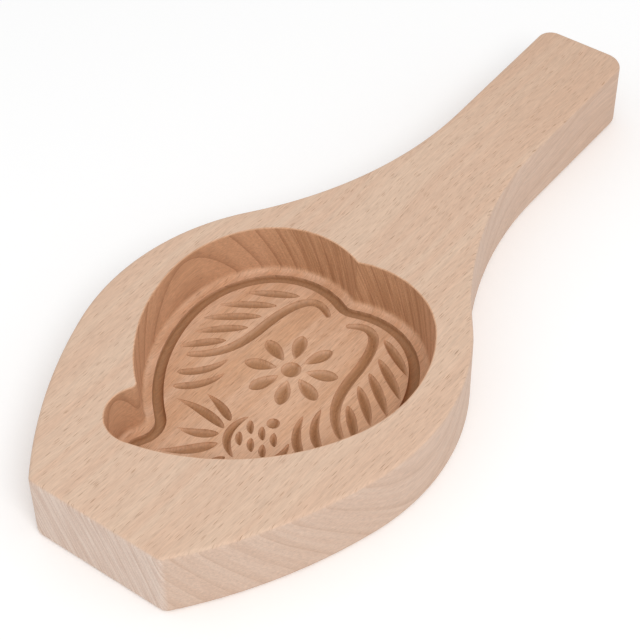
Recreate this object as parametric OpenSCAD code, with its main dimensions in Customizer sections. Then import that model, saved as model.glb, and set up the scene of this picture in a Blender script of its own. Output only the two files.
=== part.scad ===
// One-piece carved mooncake mould: a beech paddle with a drafted, peach-shaped cavity
// and a leaf relief gouged into the cavity floor.
// Millimetres. +X runs from the nose to the end of the grip and +Z is up. Lengths along X
// are measured from the nose, and the finished part is centred over the origin.

/* [Paddle] */
// Overall length, from the nose to the end of the grip
length = 250; // [236:1:290]
// Width of the head at its widest
head_w = 110; // [104:0.5:122]
// Distance from the nose to the widest place of the head
head_x = 75; // [71:0.5:80]
// Radius of the side of the head at its widest
head_r = 71; // [67:0.5:76]
// Radius of the side between the nose and the widest place
flank_r = 156; // [144:1:175]
// Width across the flat nose
nose_w = 45; // [40:0.2:50]
// Radius of the hollow where the head runs into the grip
neck_r = 125; // [110:1:132]
// Width of the grip at its waist
waist_w = 30.6; // [27:0.2:36]
// Flare of each side of the grip towards its end, in degrees
grip_flare = 0.5; // [0:0.1:1.6]
// Thickness of the plank
thickness = 23; // [22:0.5:30]
// Plan radius of the two corners of the nose
nose_corner_r = 3.5; // [3:0.5:7]
// Plan radius of the grip's left corner
left_corner_r = 5; // [3:0.5:9]
// Plan radius of the grip's right corner
right_corner_r = 7; // [3:0.5:9]
// Rounding of the upper edge
top_edge_r = 1.4; // [0.6:0.1:2]
// Rounding of the lower edge
bottom_edge_r = 1.6; // [0.6:0.1:2.4]

/* [Peach cavity] */
// Distance from the nose to the round end of the left lobe's arc
left_lobe_x = 93.8; // [92.5:0.1:95]
// Distance of the left lobe's centre from the middle line
left_lobe_y = 13; // [12:0.1:14]
// Radius of the left lobe's round end
left_lobe_r = 27.7; // [27:0.1:28.5]
// Radius of the left lobe's shoulder
left_shoulder_r = 37; // [34:0.5:39]
// Direction in which the left lobe passes into its shoulder, in degrees
left_turn = 50; // [45:1:55]
// Radius of the short cheek between the left shoulder and the notch
short_cheek_r = 59.5; // [57:0.5:62]
// Direction in which the left shoulder passes into the short cheek, in degrees
cheek_turn = 93; // [91:0.5:95]
// Distance from the nose to the right lobe's centre
right_lobe_x = 91.9; // [91:0.1:93]
// Distance of the right lobe's centre from the middle line
right_lobe_y = 10.6; // [10:0.1:11.6]
// Radius of the right lobe's round end
right_lobe_r = 28.7; // [28:0.1:29.4]
// Radius of the right lobe's shoulder
right_shoulder_r = 44.7; // [42:0.5:47]
// Direction in which the right lobe passes into its shoulder, in degrees
right_turn = 55; // [50:1:60]
// Radius of the long cheek between the tip and the right shoulder
long_cheek_r = 69.4; // [66:0.2:73]
// Distance from the nose to the centre of the curled tip
tip_x = 35.4; // [34.4:0.1:36.6]
// Distance of the curled tip's centre from the middle line
tip_y = 13; // [12:0.1:13.6]
// Radius of the curled tip
tip_r = 10.4; // [9.8:0.1:11]
// Radius of the notch between the short cheek and the tip
notch_r = 2; // [1.5:0.1:4]
// Radius of the upright edge in the cleft between the lobes
cleft_r = 0.6; // [0.5:0.1:1.4]
// Depth of the cavity floor below the top face
cavity_depth = 16; // [13:0.5:16.5]
// Draft of the cavity wall, in degrees, so that the cake drops out
draft = 4; // [2:0.5:6]
// Cove between the wall and the floor
cove_r = 2; // [1:0.25:2.5]
// Easing of the cavity's rim
rim_ease = 0.4; // [0.2:0.1:0.5]

/* [Relief] */
// Flat ledge between the cove and the channel that runs round the relief
ledge_w = 0.9; // [0.5:0.1:1.2]
// Width of the channel
channel_w = 3.3; // [2.6:0.1:3.6]
// Depth of the channel below the floor
channel_depth = 2.3; // [1.6:0.1:2.6]
// Depth of the gouge cuts below the floor
gouge_depth = 2; // [1.4:0.1:2.4]
// Width of the stem along each lobe
stem_w = 3.4; // [2.6:0.1:3.6]
// Number of straight veins outside each stem
veins = 5; // [3:1:5]
// Width of a vein
vein_w = 3; // [2.2:0.1:3.2]
// Length of a vein
vein_l = 14; // [12:0.2:15]
// Width of the leaves near the tip
leaf_w = 3.2; // [2.4:0.1:3.4]
// Number of petals of the blossom
petals = 8; // [5:1:8]
// Radius of the blossom
blossom_r = 14; // [12:0.5:14.5]
// Radius of the blossom's sunk eye
eye_r = 3; // [2.4:0.1:3.4]

/* [Hidden] */

// Greatest gap between an arc and the chord that stands for it
chord_gap = 0.05;
// Height by which each cutter rises above the face that it cuts
lift = 0.6;
edge_steps = 3;
cove_steps = 3;
channel_steps = 5;
floor_z = thickness - cavity_depth;

// Direction of an angle, and the angle from one point to another
function toward(a) = [cos(a), sin(a)];
function bearing(p, q) = atan2(q.y - p.y, q.x - p.x);

// The point at distance r1 from c1 and r2 from c2 that lies to the left of c1 -> c2
function meet(c1, r1, c2, r2) =
    let(gap = norm(c2 - c1), u = (c2 - c1) / gap)
    let(along = (r1 * r1 - r2 * r2 + gap * gap) / (2 * gap))
    c1 + along * u + sqrt(r1 * r1 - along * along) * [-u.y, u.x];

// Arcs of a closed outline, anticlockwise: [centre, radius, from, to, sense, side_after].
// A bulge turns anticlockwise and shrinks as the outline is drawn in; a hollow grows.
// side_after is true where a straight side follows the arc.
function bulge(c, r, from, to, side_after = false) =
    [c, r, from, to < from ? to + 360 : to, 1, side_after];
function hollow(c, r, from, to, side_after = false) =
    [c, r, from, to > from ? to - 360 : to, -1, side_after];
function mirrored(arc, side_after = false) =
    [[arc[0].x, -arc[0].y], arc[1], -arc[3], -arc[2], arc[4], side_after];

// Points of one arc, drawn in by inset
function arc_points(arc, inset) =
    let(sweep = arc[3] - arc[2], r = arc[1] - arc[4] * inset)
    let(steps = max(2, ceil(abs(sweep) / (2 * acos(1 - chord_gap / max(arc[1], 1))))))
    [for (i = [0 : steps - (arc[5] ? 0 : 1)]) arc[0] + r * toward(arc[2] + sweep * i / steps)];

// A ring of a closed outline, drawn in by inset, at height z
function ring(arcs, inset, z) =
    [for (arc = arcs) for (p = arc_points(arc, inset)) [p.x, p.y, z]];

// Mean of a list of points
function mean(points) = [for (p = points) 1 / len(points)] * points;

// A solid skinned over rings of equal length. Each end is closed by a fan round its hub, a
// point that sees the whole ring: above or below middle, or else the mean of the ring.
module skin(rings, middle = undef) {
    n = len(rings[0]);
    top = (len(rings) - 1) * n;
    hubs = [
        for (r = [rings[0], rings[len(rings) - 1]])
            is_undef(middle) ? mean(r) : [middle.x, middle.y, r[0].z]
    ];
    faces = [
        for (i = [0 : n - 1])
            let(j = (i + 1) % n)
            each concat(
                [[i, j, top + n], [top + j, top + i, top + n + 1]],
                [for (k = [0 : n : top - n]) each [[k + i, k + i + n, k + j + n], [k + i, k + j + n, k + j]]]
            )
    ];
    polyhedron(points = concat([for (r = rings) each r], hubs), faces = faces);
}

// Outline of the paddle ---------------------------------------------------------------
head_c = [head_x, head_w / 2 - head_r];
neck_y = waist_w / 2 + neck_r;
neck_c = [head_x + sqrt(pow(head_r + neck_r, 2) - pow(neck_y - head_c.y, 2)), neck_y];
flank_c = meet([0, nose_w / 2], flank_r, head_c, flank_r - head_r).y < head_c.y
    ? meet([0, nose_w / 2], flank_r, head_c, flank_r - head_r)
    : meet(head_c, flank_r - head_r, [0, nose_w / 2], flank_r);
nose_c = [
    nose_corner_r,
    flank_c.y + sqrt(pow(flank_r - nose_corner_r, 2) - pow(flank_c.x - nose_corner_r, 2))
];
// The grip's side leaves the neck at its waist and runs straight to the end
side_start = neck_c + neck_r * toward(grip_flare - 90);
function grip_corner(r) =
    let(x = length - r)
    bulge(
        [x, side_start.y + (x - side_start.x) * tan(grip_flare) - r / cos(grip_flare)],
        r, 0, 90 + grip_flare, true
    );
left_side = [
    grip_corner(left_corner_r),
    hollow(neck_c, neck_r, grip_flare - 90, bearing(neck_c, head_c)),
    bulge(head_c, head_r, bearing(head_c, neck_c), bearing(flank_c, head_c)),
    bulge(flank_c, flank_r, bearing(flank_c, head_c), bearing(flank_c, nose_c)),
    bulge(nose_c, nose_corner_r, bearing(flank_c, nose_c), 180, true)
];
paddle_outline = concat(
    left_side,
    [
        mirrored(left_side[4]),
        mirrored(left_side[3]),
        mirrored(left_side[2]),
        mirrored(left_side[1], true),
        mirrored(grip_corner(right_corner_r), true)
    ]
);

// Outline of the peach at its rim -----------------------------------------------------
left_lobe = [left_lobe_x, left_lobe_y];
right_lobe = [right_lobe_x, -right_lobe_y];
tip_c = [tip_x, tip_y];
left_shoulder = left_lobe - (left_shoulder_r - left_lobe_r) * toward(left_turn);
right_shoulder = right_lobe - (right_shoulder_r - right_lobe_r) * toward(-right_turn);
short_cheek = left_shoulder - (short_cheek_r - left_shoulder_r) * toward(cheek_turn);
long_cheek = meet(right_shoulder, long_cheek_r - right_shoulder_r, tip_c, long_cheek_r - tip_r).y
        > right_shoulder.y
    ? meet(right_shoulder, long_cheek_r - right_shoulder_r, tip_c, long_cheek_r - tip_r)
    : meet(tip_c, long_cheek_r - tip_r, right_shoulder, long_cheek_r - right_shoulder_r);
notch_c = meet(tip_c, tip_r + notch_r, short_cheek, short_cheek_r + notch_r);
cleft_c = meet(right_lobe, right_lobe_r + cleft_r, left_lobe, left_lobe_r + cleft_r).x > left_lobe_x
    ? meet(right_lobe, right_lobe_r + cleft_r, left_lobe, left_lobe_r + cleft_r)
    : meet(left_lobe, left_lobe_r + cleft_r, right_lobe, right_lobe_r + cleft_r);
peach_outline = [
    bulge(left_lobe, left_lobe_r, bearing(left_lobe, cleft_c), left_turn),
    bulge(left_shoulder, left_shoulder_r, left_turn, cheek_turn),
    bulge(short_cheek, short_cheek_r, cheek_turn, bearing(short_cheek, notch_c)),
    hollow(notch_c, notch_r, bearing(notch_c, short_cheek), bearing(notch_c, tip_c)),
    bulge(tip_c, tip_r, bearing(tip_c, notch_c), bearing(long_cheek, tip_c)),
    bulge(long_cheek, long_cheek_r, bearing(long_cheek, tip_c), bearing(long_cheek, right_shoulder)),
    bulge(right_shoulder, right_shoulder_r, bearing(long_cheek, right_shoulder), -right_turn),
    bulge(right_lobe, right_lobe_r, -right_turn, bearing(right_lobe, cleft_c)),
    hollow(cleft_c, cleft_r, bearing(cleft_c, right_lobe), bearing(cleft_c, left_lobe))
];

// Distances drawn in from the rim: centre of the cove, and both sides of the channel
cove_inset = (cavity_depth - cove_r) * tan(draft) + cove_r / cos(draft);
channel_outer = cove_inset + ledge_w;
channel_inner = channel_outer + channel_w;

// The plank, rounded along both edges
module plank() {
    lower = [
        for (i = [0 : edge_steps])
            let(a = 90 * i / edge_steps)
            ring(paddle_outline, bottom_edge_r * (1 - sin(a)), bottom_edge_r * (1 - cos(a)))
    ];
    upper = [
        for (i = [0 : edge_steps])
            let(a = 90 * i / edge_steps)
            ring(paddle_outline, top_edge_r * (1 - cos(a)), thickness - top_edge_r * (1 - sin(a)))
    ];
    skin(concat(lower, upper));
}

// The channel round the relief, the ledge, the cove, the drafted wall and the eased rim: one
// skin drawn from the channel's inner side outwards and up, open above the top face
module cavity_wall() {
    channel = [
        for (i = [1 : channel_steps])
            let(a = 180 * i / channel_steps)
            ring(
                peach_outline,
                (channel_inner + channel_outer) / 2 + channel_w / 2 * cos(a),
                floor_z - channel_depth * sqrt(abs(sin(a)))
            )
    ];
    cove = [
        for (i = [cove_steps : -1 : 0])
            let(a = draft + (90 - draft) * i / cove_steps)
            ring(peach_outline, cove_inset - cove_r * cos(a), floor_z + cove_r * (1 - sin(a)))
    ];
    rim = [
        for (out = [0, 1])
            ring(peach_outline, -rim_ease * out, thickness - rim_ease * (1 - out))
    ];
    skin(
        concat(
            [ring(peach_outline, channel_inner, floor_z + lift)],
            channel,
            cove,
            rim,
            [ring(peach_outline, -rim_ease, thickness + lift)]
        ),
        middle = [(tip_x + right_lobe_x) / 2, -right_lobe_y]
    );
}

// The flat floor inside the channel, which carries the relief
module cavity_floor() {
    translate([0, 0, floor_z])
        linear_extrude(2 * lift)
            polygon([for (p = ring(peach_outline, (channel_inner + channel_outer) / 2, 0)) [p.x, p.y]]);
}

// Point and heading at t on a cubic curve with control points p, or on two that share p[3]
function cubic(p, t) =
    pow(1 - t, 3) * p[0] + 3 * t * pow(1 - t, 2) * p[1] + 3 * t * t * (1 - t) * p[2] + pow(t, 3) * p[3];
function curve(p, t) =
    len(p) == 4 ? cubic(p, t)
    : t < 0.5 ? cubic([p[0], p[1], p[2], p[3]], 2 * t)
    : cubic([p[3], p[4], p[5], p[6]], 2 * t - 1);
function heading(p, t) = bearing(curve(p, max(t - 0.01, 0)), curve(p, min(t + 0.01, 1)));

// One cut along a cubic curve: steep lips and two flanks that meet in a keel. The cut is
// widest where swell says, from 0 at its start to 1 at its end, and runs out at both ends,
// the more slowly the higher its taper.
module gouge_cut(p, width, depth = gouge_depth, swell = 0.5, taper = 0.6, stations = 6) {
    bend = log(0.5) / log(swell);
    function fullness(t) = max(0.16, pow(max(sin(180 * pow(t, bend)), 0), taper));
    function section(t) =
        let(w = width / 2 * fullness(t), d = depth * fullness(t), h = heading(p, t))
        [
            for (q = [[-1, lift], [-0.94, -0.2 * d], [0, -d], [0.94, -0.2 * d], [1, lift]])
                let(side = curve(p, t) + q[0] * w * toward(h + 90))
                [side.x, side.y, floor_z + q[1]]
        ];
    skin([for (i = [0 : stations]) section(i / stations)]);
}

// A straight or evenly bent cut from a to b, bowed to the left of its run
module bowed_cut(a, b, width, bow = 0, depth = gouge_depth, swell = 0.5) {
    push = bow * 4 / 3 * toward(bearing(a, b) + 90);
    gouge_cut([a, a + (b - a) / 3 + push, b - (b - a) / 3 + push, b], width, depth, swell);
}

// What lies inside both lobes: a stem that hooks round towards the cleft, straight veins
// outside it and two bent ones where it starts
module lobe_leaf() {
    origin = [(left_lobe_x + right_lobe_x) / 2, 0];
    vein_pitch = 7.1;
    stem = [[-21.5, 28], [-16, 19], [-8, 17.2], [0, 16.7], [12, 16], [23, 12.5], [15, 3.2]];
    gouge_cut([for (p = stem) origin + p], stem_w, taper = 0.3, stations = 16);
    for (i = [0 : veins - 1]) {
        middle = origin + [-15.4 + i * vein_pitch, 26.9 - 0.27 * i * i];
        reach = vein_l / 2 * toward(-44 - 4 * i);
        bowed_cut(middle - reach, middle + reach, vein_w, bow = 0.3, swell = 0.56);
    }
    for (i = [0, 1]) {
        step = i * [5, 2.6];
        bowed_cut(origin + [-33.5, 23.2] + step, origin + [-21, 14.2] + step, vein_w * 0.95, bow = -1.8,
            swell = 0.36);
    }
}

// Leaves that fan out from the bud towards the tip and the short cheek
module tip_leaves() {
    leaves = [
        [[2.6, -1.4], [14.4, -13.8], 1.1, -1.2],
        [[12.2, -0.8], [17.4, -11.8], 1, -0.9],
        [[20.6, 6.4], [19.8, -11.8], 1, 1.1],
        [[27.2, 0.4], [23, -11.6], 0.9, 0.7],
        [[5.6, -14.2], [11.6, -18.6], 0.8, -0.6]
    ];
    for (leaf = leaves)
        bowed_cut(tip_c + leaf[0], tip_c + leaf[1], leaf_w * leaf[2], bow = leaf[3], swell = 0.64);
}

// The bud between the tip leaves and the blossom: two crescents, seeds in rows and a dot
module bud() {
    bud_c = tip_c + [20.4, -22];
    gouge_cut([for (p = [[-7.6, 1.5], [-5.2, 8], [1, 10], [6.8, 7.2]]) bud_c + p], 2.6);
    gouge_cut([for (p = [[-7.9, -1.7], [-5.5, -8.5], [0.4, -10.2], [5.4, -8]]) bud_c + p], 2.6);
    for (row = [-1 : 1], i = [0, 1]) {
        start = bud_c + [-3 + 5.2 * i, 4.1 * row - 1.5];
        bowed_cut(start, start + [4, 3.2], 2.1, bow = 0.3, depth = gouge_depth * 0.8);
    }
    translate([bud_c.x + 8.9, bud_c.y, floor_z])
        sphere(r = 1.9, $fn = 24);
}

// A blossom of petal cuts round a sunk eye, in the middle of the lobes
module blossom() {
    blossom_c = [(left_lobe_x + right_lobe_x) / 2 - 8.6, -0.6];
    petal_start = eye_r + 1.3;
    petal_w = min(4.4, 2 * PI * (petal_start + 3.6) / petals - 1.1);
    for (i = [0 : petals - 1]) {
        a = 360 * (i + 0.5) / petals;
        bowed_cut(blossom_c + petal_start * toward(a), blossom_c + blossom_r * toward(a), petal_w,
            swell = 0.6);
    }
    translate([blossom_c.x, blossom_c.y, floor_z - gouge_depth])
        cylinder(h = gouge_depth + lift, r1 = eye_r * 0.7, r2 = eye_r, $fn = 32);
}

module mould_body() {
    color("burlywood")
        translate([-length / 2, 0, 0])
            difference() {
                difference() {
                    plank();
                    cavity_wall();
                    cavity_floor();
                }
                lobe_leaf();
                mirror([0, 1, 0])
                    lobe_leaf();
                tip_leaves();
                bud();
                blossom();
            }
}

mould_body();
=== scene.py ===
"""Carved one-piece beech mooncake mould, seen as in its product photograph.

A flat paddle of planed beech has a drafted, peach-shaped cavity. A leaf relief is gouged
into the cavity's floor, inside a round-bottomed channel that follows the peach's outline.
Sizes in the classes are millimetres along the paddle from its nose; the mesh is in metres.
"""

import logging
import math
from dataclasses import dataclass
from enum import Enum

import bmesh
import bpy
from mathutils import Matrix, Vector

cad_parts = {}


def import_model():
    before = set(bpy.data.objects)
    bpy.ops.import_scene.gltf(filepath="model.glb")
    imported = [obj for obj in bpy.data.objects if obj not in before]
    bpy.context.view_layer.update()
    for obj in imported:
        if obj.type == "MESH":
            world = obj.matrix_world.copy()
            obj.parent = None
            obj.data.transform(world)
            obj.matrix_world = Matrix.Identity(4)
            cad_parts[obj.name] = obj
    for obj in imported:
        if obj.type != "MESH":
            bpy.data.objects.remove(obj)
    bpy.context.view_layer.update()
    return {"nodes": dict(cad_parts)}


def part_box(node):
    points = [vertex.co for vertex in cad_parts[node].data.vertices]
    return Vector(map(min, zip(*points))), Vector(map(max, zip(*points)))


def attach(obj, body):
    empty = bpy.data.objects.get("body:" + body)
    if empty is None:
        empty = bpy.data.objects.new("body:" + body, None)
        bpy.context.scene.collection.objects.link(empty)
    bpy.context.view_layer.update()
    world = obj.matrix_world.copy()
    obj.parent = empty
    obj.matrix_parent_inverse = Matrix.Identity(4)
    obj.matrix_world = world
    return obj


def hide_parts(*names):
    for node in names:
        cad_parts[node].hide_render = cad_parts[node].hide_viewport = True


logging.basicConfig(level=logging.INFO, format="%(levelname)s %(message)s")
log = logging.getLogger("mould")

MM = 0.001
NODE = "mould_body"


# ----------------------------------------------------------------------------- outlines


def toward(degrees: float) -> Vector:
    """Unit vector in the plan, at an angle anticlockwise from +X."""
    return Vector((math.cos(math.radians(degrees)), math.sin(math.radians(degrees))))


def bearing(start: Vector, end: Vector) -> float:
    """Direction from one plan point to another, in degrees."""
    return math.degrees(math.atan2(end.y - start.y, end.x - start.x))


def meet(first: Vector, first_r: float, second: Vector, second_r: float) -> Vector:
    """Where two circles cross, on the left of the way from the first centre to the second.

    Args:
        first: centre of the first circle.
        first_r: its radius.
        second: centre of the second circle.
        second_r: its radius.

    Returns:
        The crossing point.
    """
    gap = (second - first).length
    ahead = (second - first) / gap
    along = (first_r**2 - second_r**2 + gap**2) / (2 * gap)
    aside = math.sqrt(first_r**2 - along**2)
    return first + along * ahead + aside * Vector((-ahead.y, ahead.x))


class Turn(Enum):
    """Which way an arc of an anticlockwise outline turns."""

    BULGE = 1
    HOLLOW = -1


@dataclass(frozen=True)
class Arc:
    """One arc of a closed outline.

    Attributes:
        centre: plan position of the centre.
        radius: radius of the arc.
        start: direction of its first point from the centre, in degrees.
        end: direction of its last point.
        turn: whether the outline bulges or is hollow here.
        side_after: true where a straight side follows.
    """

    centre: Vector
    radius: float
    start: float
    end: float
    turn: Turn = Turn.BULGE
    side_after: bool = False

    def sweep(self) -> float:
        """Angle that the arc turns through.

        Returns:
            Degrees, positive for a bulge and negative for a hollow.
        """
        angle = self.end - self.start
        if self.turn is Turn.BULGE:
            return angle + 360 if angle < 0 else angle
        return angle - 360 if angle > 0 else angle

    def points(self, inset: float, chord_gap: float) -> list[Vector]:
        """Points of the arc, with the outline drawn in.

        Args:
            inset: how far the outline is drawn in.
            chord_gap: greatest gap between the arc and a chord.

        Returns:
            Plan points in order. The last one is left to the next arc unless a side follows.
        """
        radius = self.radius - self.turn.value * inset
        step = 2 * math.degrees(math.acos(1 - chord_gap / max(self.radius, 1.0)))
        count = max(3, math.ceil(abs(self.sweep()) / step))
        last = count + 1 if self.side_after else count
        return [
            self.centre + radius * toward(self.start + self.sweep() * i / count)
            for i in range(last)
        ]

    def mirrored(self, side_after: bool = False) -> "Arc":
        """The same arc beyond the middle line, run through in the outline's own direction."""
        centre = Vector((self.centre.x, -self.centre.y))
        return Arc(centre, self.radius, -self.end, -self.start, self.turn, side_after)


@dataclass(frozen=True)
class Outline:
    """A closed anticlockwise outline of arcs and straight sides.

    Attributes:
        arcs: the arcs in order.
        chord_gap: greatest gap between an arc and a chord, in millimetres.
    """

    arcs: tuple[Arc, ...]
    chord_gap: float = 0.01

    def ring(self, inset: float, height: float) -> list[Vector]:
        """Points of the outline drawn in by an inset, at a height, in millimetres."""
        plan = [p for arc in self.arcs for p in arc.points(inset, self.chord_gap)]
        return [Vector((p.x, p.y, height)) for p in plan]


# ------------------------------------------------------------------------- mesh helpers


def skin(bm: bmesh.types.BMesh, rings: list[list[Vector]]) -> None:
    """Skins a closed solid over rings by filling the first and extruding from ring to ring.

    Args:
        bm: mesh to add to, in metres.
        rings: rings of equal length, in millimetres.
    """
    verts = [bm.verts.new(p * MM) for p in rings[0]]
    bmesh.ops.contextual_create(bm, geom=_ring_edges(bm, verts))
    for ring in rings[1:]:
        place = {v: i for i, v in enumerate(verts)}
        made = bmesh.ops.extrude_edge_only(bm, edges=_ring_edges(bm, verts))["geom"]
        verts = [None] * len(ring)
        for new in (g for g in made if isinstance(g, bmesh.types.BMVert)):
            below = next(e.other_vert(new) for e in new.link_edges if e.other_vert(new) in place)
            verts[place[below]] = new
            new.co = ring[place[below]] * MM
    bmesh.ops.contextual_create(bm, geom=_ring_edges(bm, verts))
    bmesh.ops.recalc_face_normals(bm, faces=bm.faces)


def _ring_edges(bm: bmesh.types.BMesh, verts: list[bmesh.types.BMVert]) -> list[bmesh.types.BMEdge]:
    """Edges round a ring of vertices, made where they are missing."""
    pairs = zip(verts, verts[1:] + verts[:1])
    return [bm.edges.get(pair) or bm.edges.new(pair) for pair in pairs]


def mesh_object(
    name: str, bm: bmesh.types.BMesh, materials: list[bpy.types.Material]
) -> bpy.types.Object:
    """Puts a finished bmesh in the scene.

    Args:
        name: name of the object and its mesh.
        bm: the mesh, which is freed.
        materials: its material slots.

    Returns:
        The new object at the origin.
    """
    mesh = bpy.data.meshes.new(name)
    bm.to_mesh(mesh)
    bm.free()
    for material in materials:
        mesh.materials.append(material)
    made = bpy.data.objects.new(name, mesh)
    bpy.context.scene.collection.objects.link(made)
    return made


def settle(target: bpy.types.Object) -> None:
    """Turns an object's modifiers into plain mesh.

    Args:
        target: object whose modifiers are applied and removed.
    """
    graph = bpy.context.evaluated_depsgraph_get()
    mesh = bpy.data.meshes.new_from_object(target.evaluated_get(graph), depsgraph=graph)
    old = target.data
    target.modifiers.clear()
    target.data = mesh
    bpy.data.meshes.remove(old)
    mesh.name = target.name


def carve(target: bpy.types.Object, cutter: bpy.types.Object) -> None:
    """Cuts one solid out of another and removes the cutter.

    Args:
        target: solid that is cut.
        cutter: solid that is taken away; its faces keep their material index.
    """
    cut = target.modifiers.new("carve", "BOOLEAN")
    cut.operation = "DIFFERENCE"
    cut.solver = "EXACT"
    cut.use_self = True
    cut.object = cutter
    settle(target)
    mesh = cutter.data
    bpy.data.objects.remove(cutter)
    bpy.data.meshes.remove(mesh)


# ------------------------------------------------------------------------------- paddle


@dataclass(frozen=True)
class Paddle:
    """The plank sawn to a paddle and planed.

    Attributes:
        length: nose to end of the grip.
        head_w: greatest width of the head.
        thickness: thickness of the plank.
        head_x: distance of the widest place from the nose.
        head_r: radius of the head's side.
        flank_r: radius between nose and head.
        nose_w: width of the flat nose.
        neck_r: radius of the hollow neck.
        waist_w: width of the grip's waist.
        grip_flare: flare of each side of the grip, in degrees.
        nose_corner_r: plan radius of the nose's corners.
        left_corner_r: plan radius of the grip's left corner.
        right_corner_r: plan radius of the grip's right corner.
        top_edge_r: rounding of the upper edge.
        bottom_edge_r: rounding of the lower edge.
        edge_steps: faces across each rounding.
    """

    length: float
    head_w: float
    thickness: float
    head_x: float = 75.0
    head_r: float = 71.0
    flank_r: float = 156.0
    nose_w: float = 45.0
    neck_r: float = 125.0
    waist_w: float = 30.6
    grip_flare: float = 0.5
    nose_corner_r: float = 3.5
    left_corner_r: float = 5.0
    right_corner_r: float = 7.0
    top_edge_r: float = 1.4
    bottom_edge_r: float = 1.6
    edge_steps: int = 7

    def outline(self) -> Outline:
        """The paddle's plan.

        Returns:
            A closed outline, the same on both sides of the middle line but for the grip's corners.
        """
        head = Vector((self.head_x, self.head_w / 2 - self.head_r))
        neck_y = self.waist_w / 2 + self.neck_r
        reach = math.sqrt((self.head_r + self.neck_r) ** 2 - (neck_y - head.y) ** 2)
        neck = Vector((head.x + reach, neck_y))
        nose_edge = Vector((0.0, self.nose_w / 2))
        flank = meet(head, self.flank_r - self.head_r, nose_edge, self.flank_r)
        if flank.y > head.y:
            flank = meet(nose_edge, self.flank_r, head, self.flank_r - self.head_r)
        round_r = self.nose_corner_r
        rise = math.sqrt((self.flank_r - round_r) ** 2 - (flank.x - round_r) ** 2)
        nose = Vector((round_r, flank.y + rise))
        waist = neck + self.neck_r * toward(self.grip_flare - 90)
        hollow, side, front, corner = (
            Arc(neck, self.neck_r, self.grip_flare - 90, bearing(neck, head), Turn.HOLLOW),
            Arc(head, self.head_r, bearing(head, neck), bearing(flank, head)),
            Arc(flank, self.flank_r, bearing(flank, head), bearing(flank, nose)),
            Arc(nose, round_r, bearing(flank, nose), 180, side_after=True),
        )
        other_side = (
            corner.mirrored(),
            front.mirrored(),
            side.mirrored(),
            hollow.mirrored(side_after=True),
            self._grip_corner(waist, self.right_corner_r).mirrored(side_after=True),
        )
        end = self._grip_corner(waist, self.left_corner_r)
        return Outline((end, hollow, side, front, corner, *other_side))

    def _grip_corner(self, waist: Vector, radius: float) -> Arc:
        """A corner of the grip, on the left side.

        Args:
            waist: where the grip's straight side leaves the neck.
            radius: plan radius of the corner.

        Returns:
            Its arc, with a straight side after it.
        """
        flare = math.radians(self.grip_flare)
        x = self.length - radius
        side_y = waist.y + (x - waist.x) * math.tan(flare)
        centre = Vector((x, side_y - radius / math.cos(flare)))
        return Arc(centre, radius, 0, 90 + self.grip_flare, side_after=True)

    def build(self, materials: list[bpy.types.Material]) -> bpy.types.Object:
        """Makes the paddle: its plan extruded up, with both edges rounded.

        Args:
            materials: material slots of the piece.

        Returns:
            The solid blank.
        """
        outline = self.outline()
        quarter = [90 * i / self.edge_steps for i in range(self.edge_steps + 1)]
        lower = [
            outline.ring(
                self.bottom_edge_r * (1 - math.sin(math.radians(a))),
                self.bottom_edge_r * (1 - math.cos(math.radians(a))),
            )
            for a in quarter
        ]
        upper = [
            outline.ring(
                self.top_edge_r * (1 - math.cos(math.radians(a))),
                self.thickness - self.top_edge_r * (1 - math.sin(math.radians(a))),
            )
            for a in quarter
        ]
        bm = bmesh.new()
        skin(bm, lower + upper)
        log.info("paddle blank: %d faces", len(bm.faces))
        return mesh_object("carved_mould", bm, materials)


# ------------------------------------------------------------------------------- cavity


@dataclass(frozen=True)
class Lobe:
    """One lobe of the peach.

    Attributes:
        x: distance of its centre from the nose.
        y: distance of its centre from the middle line, positive to the left.
        radius: radius of its round end.
        shoulder_r: radius of its shoulder.
        turn: direction in which the round end passes into the shoulder, in degrees.
    """

    x: float
    y: float
    radius: float
    shoulder_r: float
    turn: float

    def centre(self) -> Vector:
        """Plan position of the round end's centre."""
        return Vector((self.x, self.y))

    def shoulder(self) -> Vector:
        """Plan position of the centre of the shoulder's arc."""
        return self.centre() - (self.shoulder_r - self.radius) * toward(self.turn)


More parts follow.
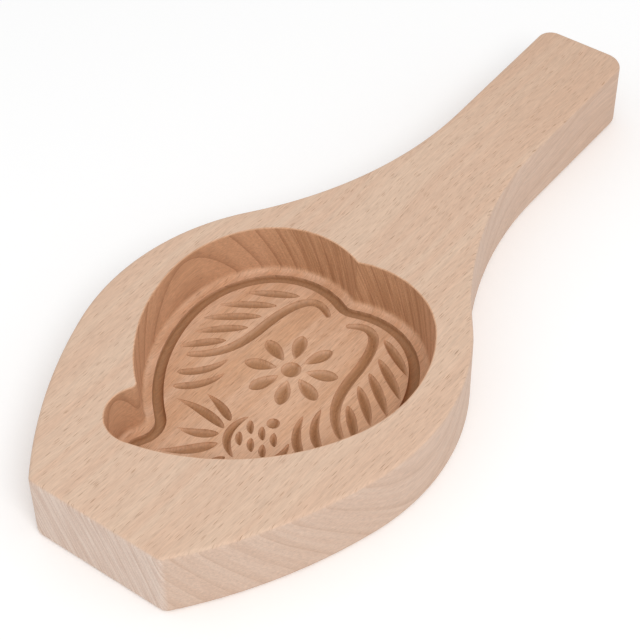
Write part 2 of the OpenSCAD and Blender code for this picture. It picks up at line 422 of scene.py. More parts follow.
@dataclass(frozen=True)
class PeachCavity:
    """The drafted cavity with its cove, ledge and the channel round the relief.

    Attributes:
        top: height of the paddle's top face.
        left: the lobe on the left.
        right: the lobe on the right.
        short_cheek_r: radius between the left shoulder and the notch.
        cheek_turn: direction in which the left shoulder passes into the short cheek.
        long_cheek_r: radius between the tip and the right shoulder.
        tip_x: distance of the curled tip's centre from the nose.
        tip_y: distance of the curled tip's centre from the middle line.
        tip_r: radius of the curled tip.
        notch_r: radius of the notch beside the tip.
        cleft_r: radius of the upright edge between the lobes.
        depth: depth of the floor below the top face.
        draft: slope of the wall, in degrees from upright.
        cove_r: cove between wall and floor.
        rim_ease: easing of the rim.
        ledge_w: flat ledge between cove and channel.
        channel_w: width of the channel.
        channel_depth: depth of the channel below the floor.
        round_steps: faces across the channel and the cove.
        rim_steps: faces across the eased rim.
    """

    top: float
    left: Lobe = Lobe(93.8, 13.0, 27.7, 37.0, 50.0)
    right: Lobe = Lobe(91.9, -10.6, 28.7, 44.7, -55.0)
    short_cheek_r: float = 59.5
    cheek_turn: float = 93.0
    long_cheek_r: float = 69.4
    tip_x: float = 35.4
    tip_y: float = 13.0
    tip_r: float = 10.4
    notch_r: float = 2.0
    cleft_r: float = 0.6
    depth: float = 16.0
    draft: float = 4.0
    cove_r: float = 2.0
    rim_ease: float = 0.4
    ledge_w: float = 0.9
    channel_w: float = 3.3
    channel_depth: float = 2.3
    round_steps: int = 10
    rim_steps: int = 3

    @property
    def floor(self) -> float:
        """Height of the cavity's floor."""
        return self.top - self.depth

    @property
    def tip(self) -> Vector:
        """Plan position of the curled tip's centre."""
        return Vector((self.tip_x, self.tip_y))

    def outline(self) -> Outline:
        """The peach's plan at its rim.

        Returns:
            A closed outline.
        """
        left, right = self.left.centre(), self.right.centre()
        left_shoulder, right_shoulder = self.left.shoulder(), self.right.shoulder()
        short = left_shoulder - (self.short_cheek_r - self.left.shoulder_r) * toward(self.cheek_turn)
        to_shoulder = self.long_cheek_r - self.right.shoulder_r
        to_tip = self.long_cheek_r - self.tip_r
        long = meet(right_shoulder, to_shoulder, self.tip, to_tip)
        if long.y < right_shoulder.y:
            long = meet(self.tip, to_tip, right_shoulder, to_shoulder)
        notch = meet(self.tip, self.tip_r + self.notch_r, short, self.short_cheek_r + self.notch_r)
        cleft = meet(right, self.right.radius + self.cleft_r, left, self.left.radius + self.cleft_r)
        if cleft.x < left.x:
            cleft = meet(left, self.left.radius + self.cleft_r, right, self.right.radius + self.cleft_r)
        hollow = Turn.HOLLOW
        return Outline(
            (
                Arc(left, self.left.radius, bearing(left, cleft), self.left.turn),
                Arc(left_shoulder, self.left.shoulder_r, self.left.turn, self.cheek_turn),
                Arc(short, self.short_cheek_r, self.cheek_turn, bearing(short, notch)),
                Arc(notch, self.notch_r, bearing(notch, short), bearing(notch, self.tip), hollow),
                Arc(self.tip, self.tip_r, bearing(self.tip, notch), bearing(long, self.tip)),
                Arc(long, self.long_cheek_r, bearing(long, self.tip), bearing(long, right_shoulder)),
                Arc(
                    right_shoulder,
                    self.right.shoulder_r,
                    bearing(long, right_shoulder),
                    self.right.turn,
                ),
                Arc(right, self.right.radius, self.right.turn, bearing(right, cleft)),
                Arc(cleft, self.cleft_r, bearing(cleft, right), bearing(cleft, left), hollow),
            )
        )

    def cutter(self, lift: float = 2.0) -> bmesh.types.BMesh:
        """The solid that the cavity is cut with, skinned from the floor outwards and up.

        Args:
            lift: how far it rises above the top face.

        Returns:
            A closed mesh.
        """
        outline = self.outline()
        slope = math.radians(self.draft)
        cove_in = (self.depth - self.cove_r) * math.tan(slope) + self.cove_r / math.cos(slope)
        middle = cove_in + self.ledge_w + self.channel_w / 2
        rings = []
        for i in range(self.round_steps + 1):
            a = math.pi * i / self.round_steps
            dip = self.channel_depth * math.sqrt(abs(math.sin(a)))
            rings.append(outline.ring(middle + self.channel_w / 2 * math.cos(a), self.floor - dip))
        for i in range(self.round_steps, -1, -1):
            a = slope + (math.pi / 2 - slope) * i / self.round_steps
            inset = cove_in - self.cove_r * math.cos(a)
            rings.append(outline.ring(inset, self.floor + self.cove_r * (1 - math.sin(a))))
        for i in range(self.rim_steps + 1):
            a = math.pi / 2 * i / self.rim_steps
            out = self.rim_ease * (1 - math.cos(a))
            rings.append(outline.ring(-out, self.top - self.rim_ease * (1 - math.sin(a))))
        rings.append(outline.ring(-self.rim_ease, self.top + lift))
        bm = bmesh.new()
        skin(bm, rings)
        return bm


# ------------------------------------------------------------------------------- relief


@dataclass(frozen=True)
class Gouge:
    """One pull of a gouge: a bent cut, widest in its run and running out at both ends.

    Attributes:
        path: plan control points of one cubic curve, or of two that share the fourth point.
        width: greatest width.
        depth: greatest depth.
        swell: where the cut is widest, from 0 at its start to 1 at its end.
        point: how sharply the ends run out; 0 is round and less than that is blunt.
        lip: share of the cut's faces that its steep lips take.
        lip_lean: how far the lips close in, as a share of half the width.
        lip_drop: how far they go down, as a share of the depth.
    """

    path: tuple[Vector, ...]
    width: float
    depth: float = 2.0
    swell: float = 0.5
    point: float = 0.25
    lip: float = 0.2
    lip_lean: float = 0.06
    lip_drop: float = 0.2

    def place(self, t: float) -> Vector:
        """Plan point on the curve.

        Args:
            t: 0 at the start and 1 at the end.

        Returns:
            The point.
        """
        a, b, c, d = self.path[:4]
        if len(self.path) > 4:
            if t < 0.5:
                t = 2 * t
            else:
                a, b, c, d = self.path[3:7]
                t = 2 * t - 1
        return (1 - t) ** 3 * a + 3 * t * (1 - t) ** 2 * b + 3 * t * t * (1 - t) * c + t**3 * d

    def side(self, t: float) -> Vector:
        """Unit vector to the left of the curve, at t from 0 at its start to 1 at its end."""
        ahead = self.place(min(t + 0.01, 1.0)) - self.place(max(t - 0.01, 0.0))
        return Vector((-ahead.y, ahead.x)).normalized()

    def _section(self, turn: float, above: bool) -> tuple[float, float]:
        """Section of the gouge's solid where it is fullest.

        Args:
            turn: 0 at the edge of the cut and 1 over its middle.
            above: true for the part above the surface that is cut.

        Returns:
            Distance from the middle as a share of half the width, and height from the surface.
        """
        if above:
            return 1.0 - 0.5 * turn, 0.7 * turn
        if turn < self.lip:
            lean, drop = self.lip_lean * turn / self.lip, -self.lip_drop * turn / self.lip
            return 1.0 - lean, drop * self.depth
        down = (turn - self.lip) / (1 - self.lip)
        drop = -(self.lip_drop + (1 - self.lip_drop) * down**0.9)
        return (1 - self.lip_lean) * (1 - down), drop * self.depth

    def cut(self, bm: bmesh.types.BMesh, floor: float, mirror: bool = False) -> None:
        """Adds the gouge's solid: a ball drawn out along the curve, its lower half the cut.

        The cut has steep lips and two flanks that meet in a keel.

        Args:
            bm: mesh of all cutters.
            floor: height of the surface that is cut.
            mirror: true for the cut on the other side of the middle line.
        """
        rounds = 40 if len(self.path) > 4 else 22
        ball = bmesh.ops.create_uvsphere(bm, u_segments=20, v_segments=rounds, radius=1.0)
        bend = math.log(0.5) / math.log(self.swell)
        for vert in ball["verts"]:
            x, y, z = vert.co
            run = ((1 - z) / 2) ** (1 / bend)
            full = max(1 - z * z, 0.0) ** 0.5 * max(1 - z * z, 1e-6) ** (self.point / 2)
            turn = math.degrees(math.atan2(abs(y), abs(x))) / 90
            spread, up = self._section(turn, above=y > 0)
            spread = math.copysign(spread * full, x)
            at = self.place(run) + self.side(run) * spread * self.width / 2
            vert.co = Vector((at.x, -at.y if mirror else at.y, floor + up * full)) * MM


def bowed(start: Vector, end: Vector, width: float, bow: float = 0.0, **more: float) -> Gouge:
    """A straight or evenly bent cut.

    Args:
        start: where the cut begins, in plan.
        end: where it ends.
        width: greatest width.
        bow: how far it bows to the left of its run.
        **more: further sizes of the gouge cut.

    Returns:
        The cut.
    """
    push = bow * 4 / 3 * toward(bearing(start, end) + 90)
    third = (end - start) / 3
    return Gouge((start, start + third + push, end - third + push, end), width, **more)


@dataclass(frozen=True)
class Relief:
    """The leaves, bud and blossom gouged into the cavity's floor.

    Attributes:
        cavity: the cavity that holds the relief.
        stem_w: width of the stem along each lobe.
        vein_w: width of a vein.
        vein_l: length of the shortest vein.
        vein_ends: how much further each straight vein outside the stem runs at its outer and
            at its inner end.
        vein_row: middle of the first straight vein, from the middle of the lobes.
        vein_pitch: distance between straight veins.
        vein_lean: direction of the first straight vein, in degrees.
        vein_fan: how much further each next one turns, in degrees.
        leaf_w: width of the leaves near the tip.
        bud_place: middle of the bud, from the centre of the curled tip.
        crescent_w: width of the two crescents round the bud.
        seed_w: width of a seed.
        seed_depth: depth of a seed.
        dot_w: width of the round dot beside the seeds.
        blossom_place: middle of the blossom, from the middle of the lobes.
        petals: number of petals of the blossom.
        petal_w: greatest width of a petal, where there is room for it.
        petal_gap: gap between petals.
        blossom_r: radius of the blossom.
        eye_r: radius of the blossom's sunk eye.
        eye_gap: gap between the eye and the petals.
    """

    cavity: PeachCavity
    stem_w: float = 3.4
    vein_w: float = 3.0
    vein_l: float = 14.0
    vein_ends: tuple[tuple[float, float], ...] = ((0, 0), (0, 1.8), (2.8, 0.8), (3.4, 0), (1.2, 1.2))
    vein_row: tuple[float, float] = (-15.4, 26.9)
    vein_pitch: float = 7.1
    vein_lean: float = -44.0
    vein_fan: float = 4.0
    leaf_w: float = 3.2
    bud_place: tuple[float, float] = (20.4, -22.0)
    crescent_w: float = 2.6
    seed_w: float = 2.1
    seed_depth: float = 1.6
    dot_w: float = 3.8
    blossom_place: tuple[float, float] = (-8.6, -0.6)
    petals: int = 8
    petal_w: float = 4.4
    petal_gap: float = 1.1
    blossom_r: float = 14.0
    eye_r: float = 3.0
    eye_gap: float = 1.3

    @property
    def middle(self) -> Vector:
        """Point on the middle line between the two lobes."""
        return Vector(((self.cavity.left.x + self.cavity.right.x) / 2, 0.0))

    def lobe_leaf(self) -> list[Gouge]:
        """The leaf inside the left lobe: hooked stem, straight veins and two bent ones.

        Returns:
            Its cuts.
        """
        stem = [(-21.5, 28), (-16, 19), (-8, 17.2), (0, 16.7), (12, 16), (23, 12.5), (15, 3.2)]
        path = tuple(self.middle + Vector(p) for p in stem)
        cuts = [Gouge(path, self.stem_w, point=-0.6)]
        for i, (outer, inner) in enumerate(self.vein_ends):
            x, y = self.vein_row
            drop = 0.27 * i * i  # The row bends in with the lobe.
            centre = self.middle + Vector((x + i * self.vein_pitch, y - drop))
            run = toward(self.vein_lean - self.vein_fan * i)
            start = centre - (self.vein_l / 2 + outer) * run
            end = centre + (self.vein_l / 2 + inner) * run
            cuts.append(bowed(start, end, self.vein_w, bow=0.3, swell=0.56))
        for i in range(2):
            step = i * Vector((5.0, 2.6))
            start = self.middle + Vector((-33.5, 23.2)) + step
            end = self.middle + Vector((-21.0, 14.2)) + step
            cuts.append(bowed(start, end, self.vein_w * 0.95, bow=-1.8, swell=0.36))
        return cuts

    def tip_leaves(self) -> list[Gouge]:
        """The leaves that fan out from the bud towards the tip and the short cheek.

        Returns:
            Their cuts.
        """
        tip, width = self.cavity.tip, self.leaf_w
        fan = [
            ((2.6, -1.4), (14.4, -13.8), 1.1, -1.2),
            ((12.2, -0.8), (17.4, -11.8), 1.0, -0.9),
            ((20.6, 6.4), (19.8, -11.8), 1.0, 1.1),
            ((27.2, 0.4), (23.0, -11.6), 0.9, 0.7),
            ((5.6, -14.2), (11.6, -18.6), 0.8, -0.6),
        ]
        return [
            bowed(tip + Vector(start), tip + Vector(end), width * fullness, bow=bow, swell=0.64)
            for start, end, fullness, bow in fan
        ]

    def bud(self) -> list[Gouge]:
        """The bud between the tip leaves and the blossom: two crescents and rows of seeds.

        Returns:
            Its cuts.
        """
        bud = self.cavity.tip + Vector(self.bud_place)
        cuts = []
        for crescent in (
            ((-7.6, 1.5), (-5.2, 8.0), (1.0, 10.0), (6.8, 7.2)),
            ((-7.9, -1.7), (-5.5, -8.5), (0.4, -10.2), (5.4, -8.0)),
        ):
            cuts.append(Gouge(tuple(bud + Vector(p) for p in crescent), self.crescent_w))
        for row in (-1, 0, 1):
            for column in (0, 1):
                start = bud + Vector((-3.0 + 5.2 * column, 4.1 * row - 1.5))
                end = start + Vector((4.0, 3.2))
                cuts.append(bowed(start, end, self.seed_w, bow=0.3, depth=self.seed_depth))
        dot = bud + Vector((8.9, 0.0))
        reach = Vector((self.dot_w / 2, 0.0))
        cuts.append(bowed(dot - reach, dot + reach, self.dot_w, point=0.0))
        return cuts

    def blossom(self) -> list[Gouge]:
        """The blossom in the middle of the lobes: petals round a sunk eye.

        Returns:
            Its cuts.
        """
        centre = self.middle + Vector(self.blossom_place)
        start = self.eye_r + self.eye_gap
        crowded = start + 3.6  # Neighbouring petals come closest at this radius.
        width = min(self.petal_w, 2 * math.pi * crowded / self.petals - self.petal_gap)
        cuts = []
        for i in range(self.petals):
            out = toward(360 * (i + 0.5) / self.petals)
            petal = bowed(centre + start * out, centre + self.blossom_r * out, width, swell=0.6)
            cuts.append(petal)
        reach = Vector((self.eye_r, 0.0))
        cuts.append(bowed(centre - reach, centre + reach, 2 * self.eye_r, point=0.0))
        return cuts

    def cutter(self) -> bmesh.types.BMesh:
        """All cuts of the relief.

        Returns:
            A mesh of closed solids.
        """
        bm = bmesh.new()
        for cut in self.lobe_leaf():
            cut.cut(bm, self.cavity.floor)
            cut.cut(bm, self.cavity.floor, mirror=True)
        for cut in self.tip_leaves() + self.bud() + self.blossom():
            cut.cut(bm, self.cavity.floor)
        bmesh.ops.recalc_face_normals(bm, faces=bm.faces)
        log.info("relief cutters: %d faces", len(bm.faces))
        return bm


# --------------------------------------------------------------------------- whole mould


class Surface(Enum):
    """Material slots of the mould, by how the wood was worked."""

    PLANED = 0
    CARVED = 1


@dataclass(frozen=True)
class Mould:
    """The finished one-piece mould.

    Attributes:
        paddle: the planed paddle.
        cavity: its cavity.
        relief: the relief in the cavity's floor.
        crease: angle above which an edge stays sharp, in degrees.
        weld: distance below which points are one, in millimetres.
    """

    paddle: Paddle
    cavity: PeachCavity
    relief: Relief
    crease: float = 35.0
    weld: float = 0.004

    def build(self, materials: dict[Surface, bpy.types.Material]) -> bpy.types.Object:
        """Makes the mould as one closed mesh.

        Args:
            materials: the wood of each surface.

        Returns:
            The finished piece, centred over the origin.
        """
        slots = [materials[surface] for surface in Surface]
        body = self.paddle.build(slots)
        for name, bm in (("cavity", self.cavity.cutter()), ("relief", self.relief.cutter())):
            for face in bm.faces:
                face.material_index = Surface.CARVED.value
            carve(body, mesh_object(name, bm, slots))
            log.info("%s carved: %d faces", name, len(body.data.polygons))
        self._finish(body)
        return body

    def _finish(self, body: bpy.types.Object) -> None:
        """Cleans the mesh, centres it and shades it smooth between creases.

        Args:
            body: the carved solid.
        """
        bm = bmesh.new()
        bm.from_mesh(body.data)
        bmesh.ops.remove_doubles(bm, verts=bm.verts, dist=self.weld * MM)
        bmesh.ops.dissolve_degenerate(bm, edges=bm.edges, dist=self.weld * MM)
        shift = Vector((-self.paddle.length / 2, 0.0, 0.0)) * MM
        bmesh.ops.translate(bm, verts=bm.verts, vec=shift)
        for face in bm.faces:
            face.smooth = True
        bm.to_mesh(body.data)
        bm.free()
        body.data.set_sharp_from_angle(angle=math.radians(self.crease))
        weights = body.modifiers.new("flat faces lead", "WEIGHTED_NORMAL")
        weights.keep_sharp = True
        settle(body)


# ----------------------------------------------------------------------------- materials


Tree = bpy.types.NodeTree
Socket = bpy.types.NodeSocket
Colour = tuple[float, float, float, float]
Size = tuple[float, float, float]

# Inputs of a Mix node that mixes colours, and of a MapRange node that gives 0 to 1.
SHARE, UNDER, OVER = 0, 6, 7
VALUE, NONE_AT, ALL_AT = 0, 1, 2
# Settings that several nodes share.
COLOURS = {"data_type": "RGBA"}
SOFT = {"interpolation_type": "SMOOTHSTEP"}


def linear(code: str) -> Colour:
    """Scene-linear colour of an sRGB hex code.

    Args:
        code: six hex digits after a hash.

    Returns:
        Red, green, blue and an alpha of 1.
    """
    parts = [int(code[i : i + 2], 16) / 255 for i in (1, 3, 5)]
    red, green, blue = (c / 12.92 if c <= 0.04045 else ((c + 0.055) / 1.055) ** 2.4 for c in parts)
    return red, green, blue, 1.0


def node(tree: Tree, kind: str, inputs: dict | None = None, **settings: object) -> bpy.types.Node:
    """Adds a shader node.

    Args:
        tree: node tree that it goes in.
        kind: node type, without the ShaderNode prefix.
        inputs: value or linked socket for each input, by name or number.
        **settings: properties of the node.

    Returns:
        The node.
    """
    made = tree.nodes.new("ShaderNode" + kind)
    for name, value in settings.items():
        setattr(made, name, value)
    for name, value in (inputs or {}).items():
        if isinstance(value, Socket):
            tree.links.new(value, made.inputs[name])
        else:
            made.inputs[name].default_value = value
    return made


class Axis(Enum):
    """Axes of the mould, by the number of their coordinate."""

    ALONG = 0
    UP = 2


@dataclass(frozen=True)
class Darkening:
    """Colour that darkens towards one end of an axis; in the cuts it is painted shade.

    Attributes:
        colour: sRGB colour where it is darkest.
        share: how strongly that colour shows there, from 0 to 1.
        axis: axis of the mould that it follows.
        start: where on that axis it starts, in millimetres from the middle of the underside.
        full: where it is full.
    """

    colour: str
    share: float
    axis: Axis
    start: float
    full: float

    def layer(self, tree: Tree) -> tuple[Socket, Colour]:
        """The darker colour as a layer.

        Args:
            tree: node tree.

        Returns:
            How strongly it shows, and its colour.
        """
        where = node(tree, "SeparateXYZ", {0: node(tree, "TexCoord").outputs["Object"]})
        place = where.outputs[self.axis.value]
        span = {VALUE: place, NONE_AT: self.start * MM, ALL_AT: self.full * MM}
        reach = node(tree, "MapRange", span, **SOFT).outputs[0]
        share = node(tree, "Math", {0: reach, 1: self.share}, operation="MULTIPLY").outputs[0]
        return share, linear(self.colour)


@dataclass(frozen=True)
class PlanedBeech:
    """European beech, steamed, planed, sanded and left without finish.

    To the eye it is a pale, matt, pinkish brown, with short dark dashes on the flat faces, fine
    lines on the nose's end grain and leaning growth lines on the sides; it is a little darker
    towards the grip.
    shows what lies there. Sizes are millimetres in the wood: along the grain, through the
    growth rings and along them.

    Real fibres are a few hundredths of a millimetre wide and real rays about a tenth. Both are
    finer than a pixel, so they are drawn as coarse as they need to be to show.

    Attributes:
        name: name of the material.
        early: sRGB colour of the early wood.
        late: sRGB colour of the late wood.
        ray: sRGB colour of a ray seen on a flat face.
        side: sRGB colour of an upright face along the grain.
        side_share: how strongly that colour shows there, from 0 to 1.
        ring: sRGB colour of the line that ends a year's growth.
        ring_share: how strongly that line shows on an upright face.
        end_grain_and_painted_light: sRGB colour of wood cut across the grain, with painted light in
        it: lighter than the flat faces on planed wood, darker as painted shade on the cavity's far wall.
        end_line: sRGB colour of the fine lines on it.
        end_trace: how strongly both show on an upright face along the grain.
        darker: where the colour is darker: towards the grip end on planed wood, and below the
        cavity's floor on carved wood, as painted shade in the cuts, partly also darker cut wood.
        contrast: how far the fibres differ in tone, as a share.
        roughness: roughness left by the tool.
        roughness_spread: how far the fibres differ from it.
        tool_marks: depth of the tool's marks.
        mark_size: size of a tool mark along the mould's own axes.
        grain_depth: depth of the fibres and rays in the surface.
        ring_w: width of a year's growth.
        ring_tilt: how far the growth rings lean from upright, in degrees.
        grain_turn: how far the grain turns from the mould's length, in degrees.
        wander_l: length over which the grain wanders.
        wander: how far it wanders.
        band_size: size of a broad band of colour.
        end_line_size: size of a line on the end grain.
        fibre_size: size of a fibre as drawn.
        ray_size: spacing of the rays.
        ray_dark: how dark the faintest and the strongest ray show.
    """

    name: str = "beech, planed and sanded"
    early: str = "#DFC0A7"
    late: str = "#DCB99F"
    ray: str = "#99704F"
    side: str = "#CEAF99"
    side_share: float = 0.8
    ring: str = "#B58E72"
    ring_share: float = 0.3
    # Painted light: the end grain is lighter than the flat faces, as on the lit nose end.
    end_grain_and_painted_light: str = "#E3CEBF"
    end_line: str = "#D5BAA9"
    end_trace: float = 0.3
    # The colour darkens along the paddle from 40 mm to 120 mm, towards the grip end.
    darker: Darkening = Darkening("#C9A184", 0.3, Axis.ALONG, 40.0, 120.0)
    contrast: float = 0.29
    roughness: float = 0.62
    roughness_spread: float = 0.06
    tool_marks: float = 0.1
    mark_size: Size = (2.9, 2.9, 20.0)
    grain_depth: float = 0.03
    ring_w: float = 3.8
    ring_tilt: float = 22.0
    grain_turn: float = 1.5
    wander_l: float = 83.0
    wander: float = 7.0
    band_size: Size = (125.0, 5.0, 17.0)
    end_line_size: Size = (33.0, 0.66, 17.0)
    fibre_size: Size = (6.0, 0.45, 0.45)
    ray_size: Size = (4.6, 0.34, 22.0)
    ray_dark: tuple[float, float] = (0.12, 0.68)

    def build(self) -> bpy.types.Material:
        """Makes the material.

        Returns:
            The material, reading object coordinates.
        """
        material = bpy.data.materials.new(self.name)
        material.use_nodes = True
        tree = material.node_tree
        tree.nodes.clear()
        wood = self._wood_space(tree)
        fibre = self._streaks(tree, wood, self.fibre_size, roughness=0.7)
        upright, across = self._faces(tree)
        rays = self._rays(tree, wood, upright)
        colour = self._colour(tree, wood, upright, across, rays)
        tone = {"Value": fibre, "To Min": 1 - self.contrast, "To Max": 1 + self.contrast}
        shade = node(tree, "MapRange", tone).outputs[0]
        low, high = self.roughness - self.roughness_spread, self.roughness + self.roughness_spread
        matt = node(tree, "MapRange", {"Value": fibre, "To Min": low, "To Max": high}).outputs[0]
        toned = node(tree, "VectorMath", {0: colour, "Scale": shade}, operation="SCALE").outputs[0]
        look = {
            "Base Color": toned,
            "Roughness": matt,
            "IOR": 1.5,
            "Normal": self._bumps(tree, fibre, rays),
        }
        shader = node(tree, "BsdfPrincipled", look)
        node(tree, "OutputMaterial", {"Surface": shader.outputs[0]})
        return material

    def _colour(
        self, tree: Tree, wood: Socket, upright: Socket, across: Socket, rays: Socket
    ) -> Socket:
        """Colour of the wood without its fibres, laid over the early wood in layers.

        Args:
            tree: node tree.
            wood: wood coordinates.
            upright: how upright the face stands.
            across: how much of the end grain's look it has.
            rays: how dark the rays show.

        Returns:
            The colour.
        """
        bands, rings = self._growth(tree, wood, upright)
        side = node(tree, "Math", {0: upright, 1: self.side_share}, operation="MULTIPLY").outputs[0]
        lines = self._streaks(tree, wood, self.end_line_size, roughness=0.6)
        span = {VALUE: lines, NONE_AT: 0.36, ALL_AT: 0.64}
        lines = node(tree, "MapRange", span, **SOFT).outputs[0]
        # The end grain's colour holds painted light: lighter on the nose's end, darker as painted shade
        # on the cavity's far wall.
        ends = {SHARE: lines, UNDER: linear(self.end_grain_and_painted_light), OVER: linear(self.end_line)}
        layers = (
            (bands, linear(self.late)),
            (side, linear(self.side)),
            (across, node(tree, "Mix", ends, **COLOURS).outputs[2]),
            (rings, linear(self.ring)),
            (rays, linear(self.ray)),
            # Darker towards the grip end on planed wood; painted shade in the cuts on carved wood.
            self.darker.layer(tree),
        )
        colour = linear(self.early)
        for share, over in layers:
            mix = node(tree, "Mix", {SHARE: share, UNDER: colour, OVER: over}, **COLOURS)
            colour = mix.outputs[2]
        return colour

    def _wood_space(self, tree: Tree) -> Socket:
        """Coordinates in the wood: along the grain, through the rings and along them, in mm.

        Args:
            tree: node tree.

        Returns:
            The coordinate vector.
        """
        turn = {
            "Vector": node(tree, "TexCoord").outputs["Object"],
            "Rotation": (math.radians(self.ring_tilt), 0.0, math.radians(self.grain_turn)),
            "Scale": (1 / MM, 1 / MM, 1 / MM),
        }
        turned = node(tree, "Mapping", turn).outputs[0]
        drift = {"Vector": turned, "Scale": 1 / self.wander_l, "Detail": 1.0}
        drift = node(tree, "TexNoise", drift).outputs["Color"]
        drift = node(tree, "VectorMath", {0: drift, 1: (0.5, 0.5, 0.5)}, operation="SUBTRACT").outputs[0]
        shift = {0: drift, 1: (0.0, self.wander, self.wander), 2: turned}
        return node(tree, "VectorMath", shift, operation="MULTIPLY_ADD").outputs[0]

    def _streaks(
        self, tree: Tree, where: Socket, size: Size, detail: float = 3.0, roughness: float = 0.5
    ) -> Socket:
        """Noise drawn out to streaks.

        Args:
            tree: node tree.
            where: coordinates.
            size: size of a streak along each of them.
            detail: how many finer layers the noise has.
            roughness: how strong they are.

        Returns:
            Noise from 0 to 1.
        """
        scale = tuple(1 / length for length in size)
        cells = node(tree, "VectorMath", {0: where, 1: scale}, operation="MULTIPLY").outputs[0]
        noise = {"Vector": cells, "Scale": 1.0, "Detail": detail, "Roughness": roughness}
        return node(tree, "TexNoise", noise).outputs[0]

    def _growth(self, tree: Tree, wood: Socket, upright: Socket) -> tuple[Socket, Socket]:
        """Broad colour bands, and the line that ends each year's growth on an upright face.

        Args:
            tree: node tree.
            wood: wood coordinates.
            upright: how upright the face stands.

        Returns:
            The broad bands and the growth lines, each from 0 to 1.
        """
        through = node(tree, "SeparateXYZ", {0: wood}).outputs[1]
        years = node(tree, "Math", {0: through, 1: 1 / self.ring_w}, operation="MULTIPLY").outputs[0]
        year = node(tree, "Math", {0: years}, operation="FRACT").outputs[0]
        # The wood darkens slowly through the year and most at its end.
        late = node(tree, "Math", {0: year, 1: 5.0}, operation="POWER").outputs[0]
        rings = node(tree, "Math", {0: late, 1: self.ring_share}, operation="MULTIPLY").outputs[0]
        rings = node(tree, "Math", {0: rings, 1: upright}, operation="MULTIPLY").outputs[0]
        broad = self._streaks(tree, wood, self.band_size)
        span = {VALUE: broad, NONE_AT: 0.35, ALL_AT: 0.65}
        return node(tree, "MapRange", span, **SOFT).outputs[0], rings

    def _rays(self, tree: Tree, wood: Socket, upright: Socket) -> Socket:
        """Wood rays: thin upright ribbons, seen as dashes where a flat face cuts them.

        Args:
            tree: node tree.
            wood: wood coordinates.
            upright: how upright the face stands.

        Returns:
            How dark each ray shows; 0 outside the rays and on an upright face.
        """
        size = tuple(1 / length for length in self.ray_size)
        cell = node(tree, "VectorMath", {0: wood, 1: size}, operation="MULTIPLY").outputs[0]
        cells = node(tree, "TexVoronoi", {"Vector": cell, "Scale": 1.0}).outputs
        chance = node(tree, "SeparateXYZ", {0: cells["Color"]}).outputs[0]
        # More rays are faint than strong.
        dark = node(tree, "Math", {0: chance, 1: 1.6}, operation="POWER").outputs[0]
        low, high = self.ray_dark
        dark = node(tree, "MapRange", {"Value": dark, "To Min": low, "To Max": high}).outputs[0]
        shape = {VALUE: cells["Distance"], NONE_AT: 0.33, ALL_AT: 0.16}
        inside = node(tree, "MapRange", shape, **SOFT).outputs[0]
        dashes = node(tree, "Math", {0: inside, 1: dark}, operation="MULTIPLY").outputs[0]
        flat = node(tree, "Math", {0: 1.0, 1: upright}, operation="SUBTRACT").outputs[0]
        return node(tree, "Math", {0: dashes, 1: flat}, operation="MULTIPLY").outputs[0]

    def _faces(self, tree: Tree) -> tuple[Socket, Socket]:
        """How upright a face stands, and how much of the end grain's look it has.

        Args:
            tree: node tree.

        Returns:
            Two numbers from 0 to 1.
        """
        normal = node(tree, "SeparateXYZ", {0: node(tree, "TexCoord").outputs["Normal"]}).outputs
        along, rise = (
            node(tree, "Math", {0: normal[axis.value]}, operation="ABSOLUTE").outputs[0] for axis in Axis
        )
        upright = node(tree, "MapRange", {VALUE: rise, NONE_AT: 0.8, ALL_AT: 0.3}, **SOFT).outputs[0]
        across = node(tree, "MapRange", {VALUE: along, NONE_AT: 0.55, ALL_AT: 1.0}, **SOFT).outputs[0]
        trace = node(tree, "Math", {0: upright, 1: self.end_trace}, operation="MULTIPLY").outputs[0]
        return upright, node(tree, "Math", {0: across, 1: trace}, operation="MAXIMUM").outputs[0]

    def _bumps(self, tree: Tree, fibre: Socket, rays: Socket) -> Socket:
        """Fibres, sunk rays and the marks of the plane or the gouge in the surface.

        Args:
            tree: node tree.
            fibre: tone of the fibres.
            rays: how dark the rays show.

        Returns:
            The bumped normal.
        """
        height = node(tree, "Math", {0: rays, 1: -0.6, 2: fibre}, operation="MULTIPLY_ADD").outputs[0]
        fine = {"Height": height, "Distance": self.grain_depth * MM, "Strength": 0.7}
        where = node(tree, "TexCoord").outputs["Object"]
        size = tuple(length * MM for length in self.mark_size)
        marks = {
            "Height": self._streaks(tree, where, size, detail=1.0),
            "Distance": self.tool_marks * MM,
            "Normal": node(tree, "Bump", fine).outputs[0],
        }
        return node(tree, "Bump", marks).outputs[0]


@dataclass(frozen=True)
class CarvedBeech(PlanedBeech):
    """The same beech as the gouge leaves it, darkest in the cuts: partly darker cut wood, partly painted
    shade in the grooves.

    To the eye it is warmer, browner and rougher than the planed wood, because the gouge tears
    the fibres a little, and the growth lines on the cavity's wall are plainer. Its end grain is
    darker still: partly cut end grain, partly painted shade on the cavity's far wall.
    """

    name: str = "beech, carved"
    early: str = "#DDB292"
    late: str = "#D3A37F"
    ray: str = "#96623E"
    side: str = "#D6A682"
    ring: str = "#8F5C3A"
    ring_share: float = 0.5
    # Painted shade: the carved end grain and its lines are darker, partly as the shade on the cavity's
    # far wall.
    end_grain_and_painted_light: str = "#CC9E79"
    end_line: str = "#B68863"
    contrast: float = 0.4
    roughness: float = 0.7
    tool_marks: float = 0.3

    @classmethod
    def below(cls, floor: float) -> "CarvedBeech":
        """The finish of a cavity, darker below the height of its floor: painted shade in the cuts,
        partly also darker cut wood.
        """
        # Painted shade: below the floor the colour darkens towards #AA7A52, in the cuts.
        return cls(darker=Darkening("#AA7A52", 0.9, Axis.UP, floor - 0.1, floor - 1.4))


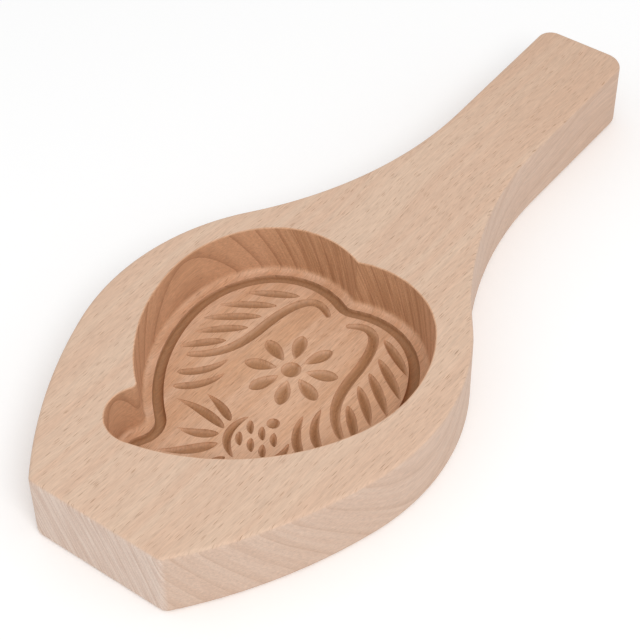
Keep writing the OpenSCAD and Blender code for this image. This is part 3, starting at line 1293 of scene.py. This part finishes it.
@dataclass(frozen=True)
class WhiteBoard:
    """Board painted matt white, for the floor.

    To the eye it is an even white without gloss. What stands on it gets a plainer white back.

    Attributes:
        seen: how much light it gives back to the eye, a little over 1 so that it shows white.
        cast: how much it gives back to what stands on it.
    """

    seen: float = 1.1
    cast: float = 0.9

    def build(self) -> bpy.types.Material:
        """Makes the material.

        Returns:
            The material.
        """
        material = bpy.data.materials.new("white board")
        material.use_nodes = True
        tree = material.node_tree
        tree.nodes.clear()
        path = node(tree, "LightPath").outputs
        look = path["Is Camera Ray"]
        for ray in ("Is Glossy Ray", "Is Transmission Ray"):
            look = node(tree, "Math", {0: look, 1: path[ray]}, operation="MAXIMUM").outputs[0]
        span = {"Value": look, "To Min": self.cast, "To Max": self.seen}
        white = node(tree, "MapRange", span).outputs[0]
        colour = node(tree, "CombineXYZ", {0: white, 1: white, 2: white}).outputs[0]
        shader = node(tree, "BsdfDiffuse", {"Color": colour})
        node(tree, "OutputMaterial", {"Surface": shader.outputs[0]})
        return material


# -------------------------------------------------------------------------------- studio


@dataclass(frozen=True)
class PhotoCamera:
    """The photograph's camera, found from the mould's outline.

    Attributes:
        place: position in millimetres from the middle of the mould's underside.
        right: direction of the picture's right.
        down: direction of the picture's foot.
        lens: focal length on a 36 mm sensor, in millimetres.
    """

    place: Size = (-326.63, -225.59, 395.73)
    right: Size = (0.59328, -0.80496, -0.00807)
    down: Size = (-0.57616, -0.41760, -0.70260)
    lens: float = 103.17

    def build(self) -> bpy.types.Object:
        """Makes the camera and sets it as the scene's.

        Returns:
            The camera.
        """
        data = bpy.data.cameras.new("photo_camera")
        data.lens = self.lens
        data.sensor_width = 36.0
        data.clip_start = 0.01
        camera = bpy.data.objects.new("photo_camera", data)
        across = Vector(self.right).normalized()
        up = -Vector(self.down)
        up = (up - up.dot(across) * across).normalized()
        turn = Matrix((across, up, across.cross(up))).transposed().to_4x4()
        camera.matrix_world = Matrix.Translation(Vector(self.place) * MM) @ turn
        bpy.context.scene.collection.objects.link(camera)
        bpy.context.scene.camera = camera
        return camera


@dataclass(frozen=True)
class Studio:
    """A white table under soft, even light.

    Attributes:
        sky: strength of the white surroundings.
        key: power of the soft lamp beside the camera, in watts.
        lamp_w: width of the lamp, in metres.
        lamp_place: position of the lamp, which faces the mould, in metres.
        reach: half width of the white floor, in metres.
    """

    sky: float = 0.74
    key: float = 3.2
    lamp_w: float = 0.5
    lamp_place: Size = (-0.43, -0.55, 0.8)
    reach: float = 3.0

    def build(self) -> None:
        """Makes the floor, the surroundings and the lamp."""
        bm = bmesh.new()
        bmesh.ops.create_grid(bm, x_segments=1, y_segments=1, size=self.reach)
        floor = mesh_object("floor", bm, [WhiteBoard().build()])
        world = bpy.data.worlds.new("white_room")
        world.use_nodes = True
        background = world.node_tree.nodes["Background"]
        background.inputs["Color"].default_value = (1.0, 1.0, 1.0, 1.0)
        background.inputs["Strength"].default_value = self.sky
        bpy.context.scene.world = world
        lamp = bpy.data.lights.new("soft_box", "AREA")
        lamp.shape = "DISK"
        lamp.size = self.lamp_w
        lamp.energy = self.key
        box = bpy.data.objects.new("soft_box", lamp)
        box.location = self.lamp_place
        box.rotation_mode = "QUATERNION"
        box.rotation_quaternion = (-box.location).to_track_quat("-Z", "Y")
        bpy.context.scene.collection.objects.link(box)


def main() -> None:
    """Builds the mould over the frame, then the studio and the camera."""
    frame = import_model()
    low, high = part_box(NODE)
    size = [(b - a) / MM for a, b in zip(low, high)]
    paddle = Paddle(length=size[0], head_w=size[1], thickness=size[2])
    cavity = PeachCavity(top=size[2])
    woods = {
        Surface.PLANED: PlanedBeech().build(),
        Surface.CARVED: CarvedBeech.below(cavity.floor).build(),
    }
    mould = Mould(paddle, cavity, Relief(cavity)).build(woods)
    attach(mould, "root")
    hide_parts(NODE)
    log.info("%d CAD nodes, mould of %d faces", len(frame["nodes"]), len(mould.data.polygons))
    Studio().build()
    PhotoCamera().build()
    scene = bpy.context.scene
    scene.view_settings.view_transform = "Standard"


if __name__ == "__main__":
    main()
